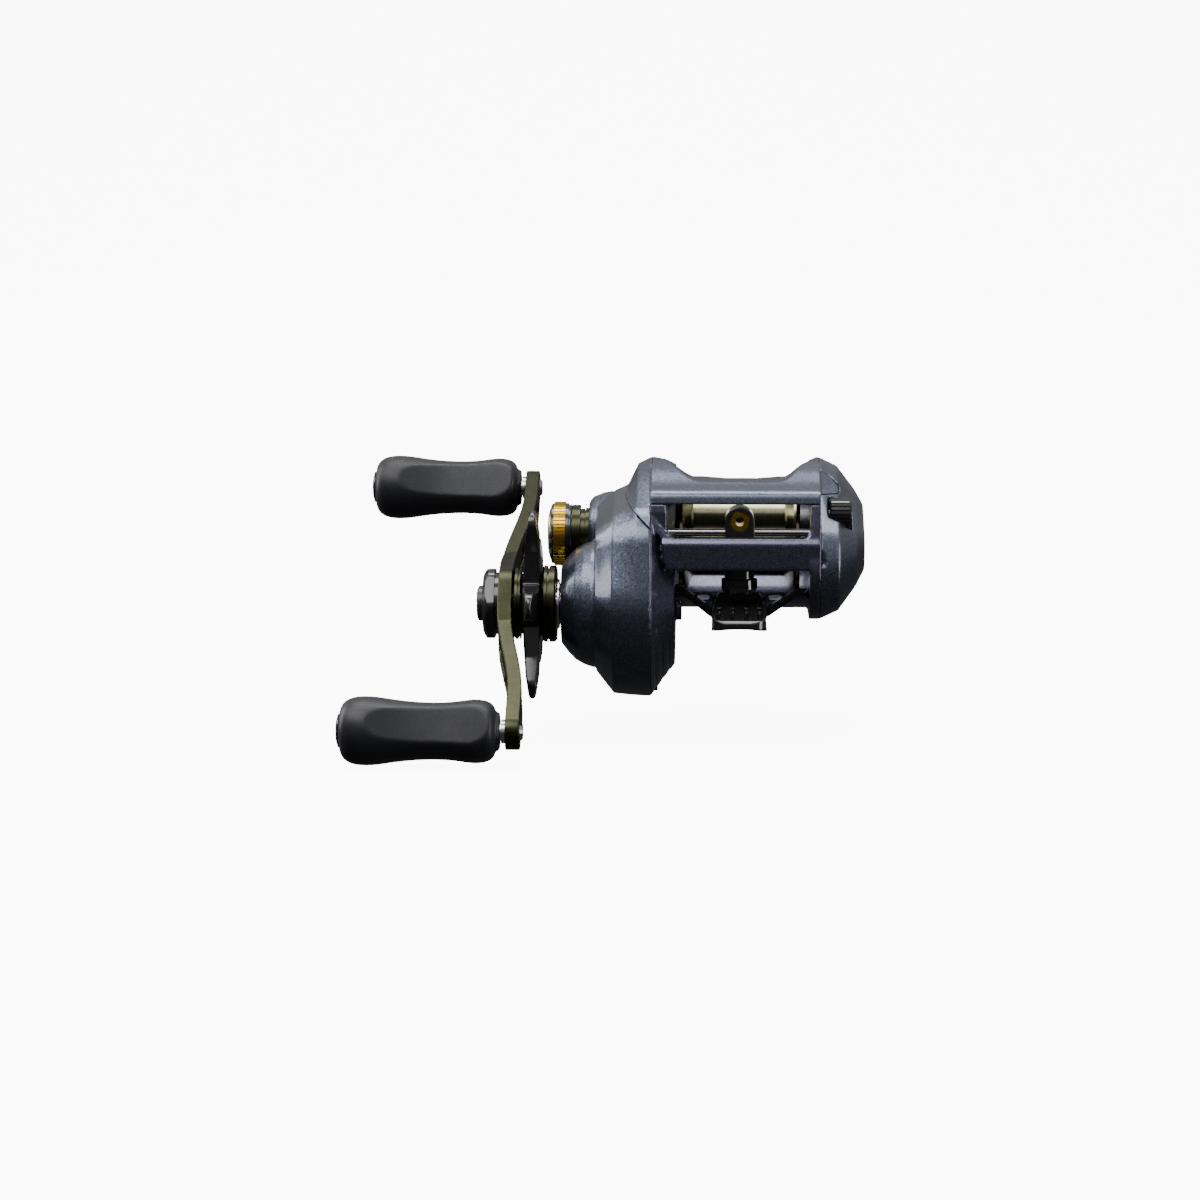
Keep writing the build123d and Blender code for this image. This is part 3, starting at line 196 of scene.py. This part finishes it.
# ---------------------------------------------------------------- materials
def lacquer(name, base, pale, flake_share=0.5):
    """Metallic flake lacquer: tilted flakes of two tones under a smooth clear coat."""
    look = Look(name, base, Metallic=0.92, Coat_Weight=0.55, Coat_Roughness=0.09, Coat_IOR=1.5)
    flake = look.cells(FLAKE_SIZE)
    separate = look.tree.nodes.new("ShaderNodeSeparateColor")
    look.feed(separate.inputs[0], flake)
    tone = look.spread(separate.outputs[0], 0.0, flake_share, 0.45, 1.0)
    cloud = look.noise(1.1 * MM, 3.0)
    tone = look.math("ADD", tone, look.vary(cloud, -0.05, 0.07), clamp=True)
    worn = look.math("MULTIPLY", look.edges(), 0.18)
    look.set("Base Color", look.mix(worn, look.mix(tone, base, pale), tuple(1.35 * c for c in pale)))
    look.set("Roughness", look.vary(look.noise(0.35 * MM, 2.0), 0.29, 0.37))
    tilt = look.vector("SCALE", look.vector("SUBTRACT", flake, (0.5, 0.5, 0.5)), scale=0.15)
    geometry = look.tree.nodes.new("ShaderNodeNewGeometry")
    normal = look.vector("NORMALIZE", look.vector("ADD", geometry.outputs["Normal"], tilt))
    look.set("Normal", normal)
    return look.material


def anodised(name, base, pale, axis, roughness=(0.16, 0.28), line=0.12 * MM, depth=0.004 * MM):
    """Anodised aluminium with fine turning lines about an axis."""
    look = Look(name, base, Metallic=1.0)
    lines = look.turned(axis, line)
    cloud = look.noise(2.5 * MM, 2.0)
    tone = look.math("MULTIPLY", lines, look.vary(cloud, 0.6, 1.3), clamp=True)
    look.set("Base Color", look.mix(tone, base, pale))
    look.set("Roughness", look.vary(lines, *roughness))
    look.bump(lines, depth, 0.5)
    return look.material


def moulded(name, base, roughness, coat, grain=0.3 * MM, depth=0.0015 * MM):
    """Moulded or enamelled black: faint mottling, soft orange peel and polished edges."""
    pale = tuple(1.6 * c + 0.002 for c in base)
    look = Look(name, base, Coat_Weight=coat, Coat_Roughness=0.06)
    cloud = look.noise(0.9 * MM, 4.0, roughness=0.6)
    look.set("Base Color", look.mix(look.spread(cloud, 0.0, 0.6, 0.35, 0.75), base, pale))
    wear = look.math("MULTIPLY", look.edges(), -0.04)
    look.set("Roughness", look.math("ADD", look.vary(look.noise(grain, 3.0), *roughness), wear))
    look.bump(look.noise(grain, 2.0), depth, 0.6)
    return look.material


def rubber():
    """Soft-touch knob skin: very fine pebble, rubbed a little smoother in broad patches."""
    look = Look("knob_rubber_skin", (0.012, 0.012, 0.0135), Sheen_Weight=0.05, Sheen_Roughness=0.4,
                Specular_IOR_Level=0.32)
    pebble = look.cells(PEBBLE_SIZE, "Distance")
    patch = look.noise(6.0 * MM, 3.0)
    look.set("Base Color", look.mix(look.vary(look.noise(0.5 * MM, 4.0), 0.0, 1.0),
                                    (0.0085, 0.0085, 0.0112), (0.0140, 0.0140, 0.0182)))
    look.set("Roughness", look.math("ADD", look.vary(patch, 0.36, 0.48),
                                    look.spread(pebble, 0.03, -0.02)))
    look.bump(look.math("ADD", pebble, look.noise(0.25 * MM, 3.0)), 0.010 * MM, 0.5)
    return look.material


def metal(name, base, roughness, line_axis=None, size=0.1 * MM):
    """Bare machined metal with fine marks, along lathe lines where an axis is given."""
    pale = tuple(min(1.0, 1.18 * c) for c in base)
    look = Look(name, base, Metallic=1.0)
    marks = look.turned(line_axis, size) if line_axis else look.noise(size, 4.0)
    look.set("Base Color", look.mix(marks, tuple(0.82 * c for c in base), pale))
    look.set("Roughness", look.vary(marks, *roughness))
    look.bump(marks, 0.003 * MM, 0.5)
    return look.material


def carbon():
    """Woven carbon: strands crossing in squares, with a resin sheen."""
    look = Look("carbon_weave", (0.03, 0.03, 0.032), Coat_Weight=0.3)
    checker = look.tree.nodes.new("ShaderNodeTexChecker")
    look.feed(checker.inputs["Vector"], look.place)
    checker.inputs["Scale"].default_value = 1 / WEAVE_SIZE
    strands = look.noise(0.15 * MM, 2.0)
    look.set("Base Color", look.mix(look.math("MULTIPLY", checker.outputs["Fac"], strands),
                                    (0.018, 0.018, 0.02), (0.085, 0.085, 0.09)))
    look.set("Roughness", look.spread(checker.outputs["Fac"], 0.35, 0.6))
    look.bump(strands, 0.02 * MM, 0.4)
    return look.material


def acetal():
    """White machined plastic, faintly clouded."""
    look = Look("acetal", (0.74, 0.74, 0.70), Subsurface_Weight=0.08, Subsurface_Scale=0.0005)
    cloud = look.noise(1.5 * MM, 4.0)
    look.set("Base Color", look.mix(cloud, (0.70, 0.70, 0.655), (0.80, 0.80, 0.77)))
    look.set("Roughness", look.vary(cloud, 0.34, 0.48))
    look.bump(look.noise(0.2 * MM, 3.0), 0.006 * MM, 0.5)
    return look.material


ARM_OLIVE = anodised("olive_satin", (0.024, 0.026, 0.013), (0.046, 0.048, 0.026), DRIVE, (0.27, 0.34),
                     0.10 * MM, 0.001 * MM)
STEEL_BLUE = lacquer("blue_metal_lacquer", (0.058, 0.069, 0.100), (0.205, 0.232, 0.292))
PLUM_BLUE = lacquer("blue_metal_bar", (0.060, 0.060, 0.100), (0.200, 0.200, 0.280))
LOOKS = {
    "blue_metal": STEEL_BLUE,
    "gloss_black": moulded("gloss_black_enamel", (0.007, 0.007, 0.008), (0.16, 0.22), 0.35),
    "black_screws": moulded("black_oxide", (0.012, 0.012, 0.013), (0.28, 0.42), 0.1, 0.15 * MM),
    "knob_rubber": rubber(),
    "knob_cap_gloss": moulded("cap_gloss", (0.012, 0.012, 0.013), (0.12, 0.2), 0.6),
    "olive_anodised": anodised("olive_anodising", (0.020, 0.022, 0.012), (0.052, 0.053, 0.030), DRIVE,
                               (0.20, 0.28), 0.08 * MM, 0.002 * MM),
    "gold_anodised": anodised("gold_anodising", (0.42, 0.26, 0.018), (0.66, 0.44, 0.06), SPOOL),
    "champagne_spool": anodised("champagne_anodising", (0.24, 0.222, 0.128), (0.40, 0.378, 0.25), SPOOL,
                                (0.15, 0.25)),
    "polished_steel": metal("steel_polish", (0.56, 0.56, 0.575), (0.10, 0.22), SPOOL),
    "brass_gear": metal("machined_brass", (0.62, 0.42, 0.16), (0.18, 0.32), DRIVE),
    "carbon_washers": carbon(),
    "white_plastic": acetal(),
    "brake_metal": metal("turned_aluminium", (0.66, 0.66, 0.675), (0.2, 0.34), SPOOL),
    "magnet_grey": metal("magnet_carrier", (0.16, 0.16, 0.17), (0.35, 0.5)),
}


# ---------------------------------------------------------------- pieces
def bake_modifiers(piece):
    """Replace the piece's mesh with what its modifiers make of it."""
    graph = bpy.context.evaluated_depsgraph_get()
    mesh = bpy.data.meshes.new_from_object(piece.evaluated_get(graph))
    piece.modifiers.clear()
    piece.data = mesh


def soften(node, voxel, passes, triangles, look=None):
    """Show a copy of a CAD node with rounded edges in place of the node."""
    piece = bpy.data.objects.new(node + "_shell", NODES[node].data.copy())
    bpy.context.scene.collection.objects.link(piece)
    remesh = piece.modifiers.new("remesh", "REMESH")
    remesh.mode = "VOXEL"
    remesh.voxel_size = voxel * MM
    remesh.use_smooth_shade = True
    smooth = piece.modifiers.new("smooth", "SMOOTH")
    smooth.factor = 0.5
    smooth.iterations = passes
    bake_modifiers(piece)
    count = 2 * len(piece.data.polygons)
    if count > triangles:
        thin = piece.modifiers.new("thin", "DECIMATE")
        thin.ratio = triangles / count
        bake_modifiers(piece)
    for polygon in piece.data.polygons:
        polygon.use_smooth = True
    piece.data.materials.clear()
    piece.data.materials.append(look or LOOKS[SLOT_OF[node]])
    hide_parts(node)
    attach(piece, BODY_OF[node])
    return piece


def dress_cad_nodes():
    """Give every CAD node the material of its slot."""
    for name, node in NODES.items():
        look = LOOKS[SLOT_OF[name]]
        if node.material_slots:
            for slot in node.material_slots:
                slot.material = look
        else:
            node.data.materials.append(look)


# node, voxel size in mm, smoothing passes, most triangles, material if not the slot's own
SOFT_NODES = [
    ("frame", 0.24, 7, 120000, PLUM_BLUE),
    ("front_hood", 0.20, 9, 70000, None),
    ("gear_cover", 0.22, 5, 100000, None),
    ("palm_cover", 0.24, 9, 70000, None),
    ("thumb_rest", 0.20, 9, 16000, None),
    ("reel_foot", 0.18, 6, 50000, None),
    ("star_drag", 0.16, 9, 40000, None),
    ("handle_arm", 0.18, 6, 50000, ARM_OLIVE),
    ("clutch_bar", 0.20, 7, 20000, None),
    ("upper_knob", 0.30, 8, 20000, None),
    ("lower_knob", 0.30, 8, 20000, None),
    ("line_guide", 0.14, 6, 24000, None),
]


# ---------------------------------------------------------------- camera and studio
def look_at(thing, target):
    """Turn a light or the camera to a point."""
    toward = Vector(target) - thing.location
    thing.rotation_euler = toward.to_track_quat("-Z", "Y").to_euler()


def add_camera():
    """Long lens in front of the reel, a little above it and towards the palm side."""
    azimuth, elevation, distance = radians(2.0), radians(7.5), 0.784
    aim = (-0.0318, 0.0, 0.003)
    data = bpy.data.cameras.new("camera")
    data.lens = 102.5
    camera = bpy.data.objects.new("camera", data)
    bpy.context.scene.collection.objects.link(camera)
    camera.location = (aim[0] + distance * sin(azimuth) * cos(elevation),
                       aim[1] - distance * cos(azimuth) * cos(elevation),
                       aim[2] + distance * sin(elevation))
    look_at(camera, aim)
    bpy.context.scene.camera = camera


def add_area(name, location, size, power):
    """Rectangular white light."""
    data = bpy.data.lights.new(name, "AREA")
    data.shape = "RECTANGLE"
    data.size, data.size_y = size
    data.energy = power
    light = bpy.data.objects.new(name, data)
    bpy.context.scene.collection.objects.link(light)
    light.location = location
    look_at(light, LIT_POINT)


def add_world():
    """White surroundings that brighten upwards, so that undersides stay dark."""
    world = bpy.data.worlds.new("studio")
    world.use_nodes = True
    tree = world.node_tree
    place = tree.nodes.new("ShaderNodeTexCoord")
    split = tree.nodes.new("ShaderNodeSeparateXYZ")
    ramp = tree.nodes.new("ShaderNodeMapRange")
    tree.links.new(place.outputs["Generated"], split.inputs[0])
    tree.links.new(split.outputs[2], ramp.inputs["Value"])
    set_range(ramp, *SKY_SLOPE, *SKY_STRENGTH)
    tree.links.new(ramp.outputs[0], tree.nodes["Background"].inputs["Strength"])
    tree.nodes["Background"].inputs["Color"].default_value = (1, 1, 1, 1)
    bpy.context.scene.world = world


def add_floor():
    """White sweep: flat under the reel and curving up behind it."""
    gap, steps = 0.0002, 12
    level = CAD_BOX[0][2] - gap
    front, middle, depth, height, bend, half = -2.2, -0.6, 0.55, 1.6, 0.35, 1.6
    profile = [(front, 0.0), (middle, 0.0), (depth, 0.0)]
    for step in range(1, steps + 1):
        angle = radians(90 * step / steps)
        profile.append((depth + bend * sin(angle), bend * (1 - cos(angle))))
    profile.append((depth + bend, height))
    points = [(x, y, level + z) for y, z in profile for x in (-half, half)]
    faces = [(2 * k, 2 * k + 1, 2 * k + 3, 2 * k + 2) for k in range(len(profile) - 1)]
    mesh = bpy.data.meshes.new("floor")
    mesh.from_pydata(points, [], faces)
    for polygon in mesh.polygons:
        polygon.use_smooth = True
    look = Look("white_sweep", (0.92, 0.92, 0.92), Roughness=0.9, Emission_Strength=9.0)
    look.shader.inputs["Emission Color"].default_value = (1, 1, 1, 1)
    mesh.materials.append(look.material)
    floor = bpy.data.objects.new("floor", mesh)
    bpy.context.scene.collection.objects.link(floor)
    floor.visible_diffuse = False
    floor.visible_glossy = False


dress_cad_nodes()
for node, voxel, passes, triangles, look in SOFT_NODES:
    soften(node, voxel, passes, triangles, look)
add_floor()
add_camera()
for light in LIGHTS:
    add_area(*light)
add_world()
